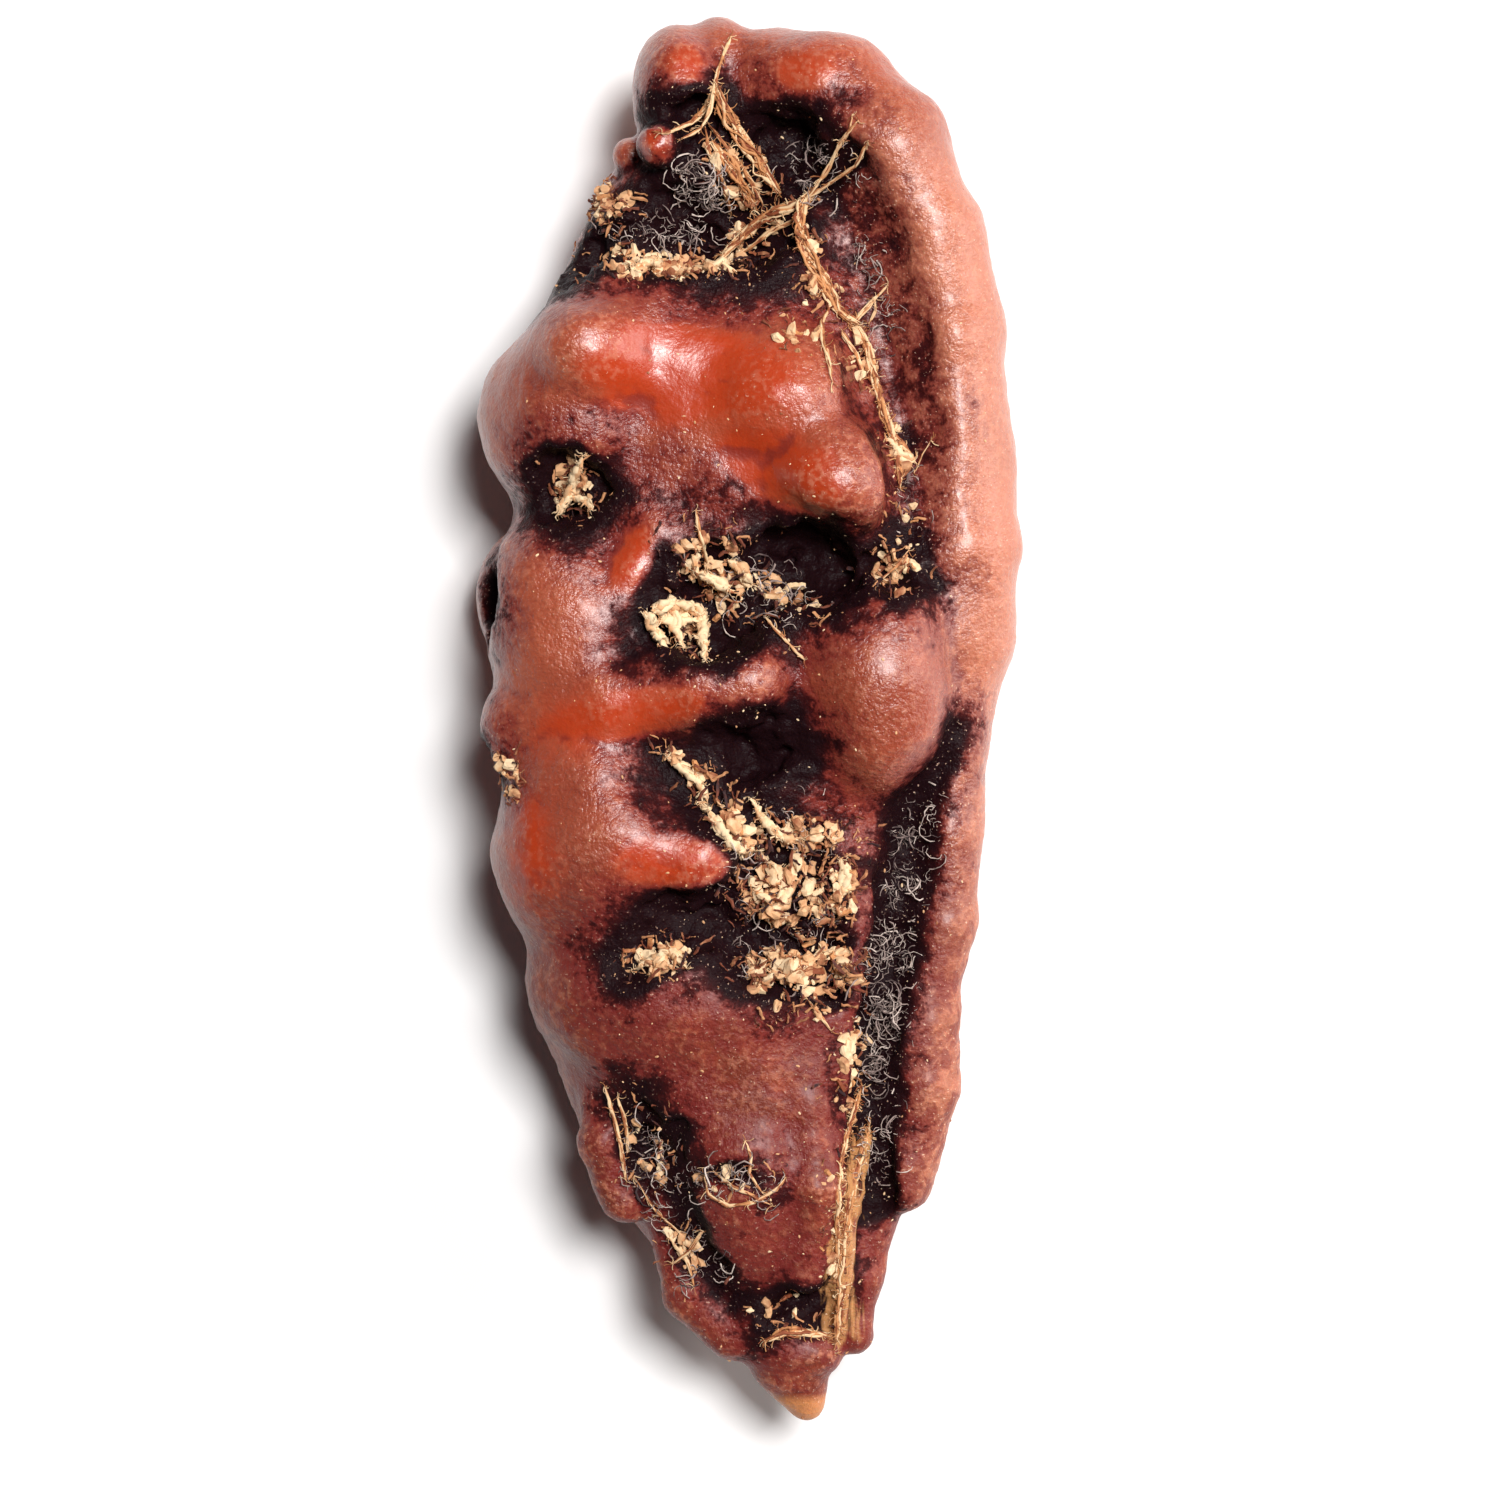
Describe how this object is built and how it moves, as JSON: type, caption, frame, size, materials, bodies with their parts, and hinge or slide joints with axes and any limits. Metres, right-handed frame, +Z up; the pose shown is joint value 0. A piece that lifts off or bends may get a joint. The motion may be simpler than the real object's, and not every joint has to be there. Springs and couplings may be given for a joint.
{
  "type": "shelled dried seed pod",
  "caption": "Shrivelled, lobed dried pod with its shell peeled off: leathery orange-brown pulp with dark furrows, one rolled edge and a pointed tip.",
  "frame": {"origin": "middle of the pod's footprint, on the surface it lies on", "axes": "+Y along the pod from its pointed tip to its blunt crown, +X to the side with the long rolled edge, +Z up from the flatter side it lies on"},
  "size_m": [0.0274, 0.0702, 0.016],
  "materials": {
    "pulp": "waxy, satin"
  },
  "bodies": {
    "root": {"pod": "pulp"}
  },
  "joints": []
}
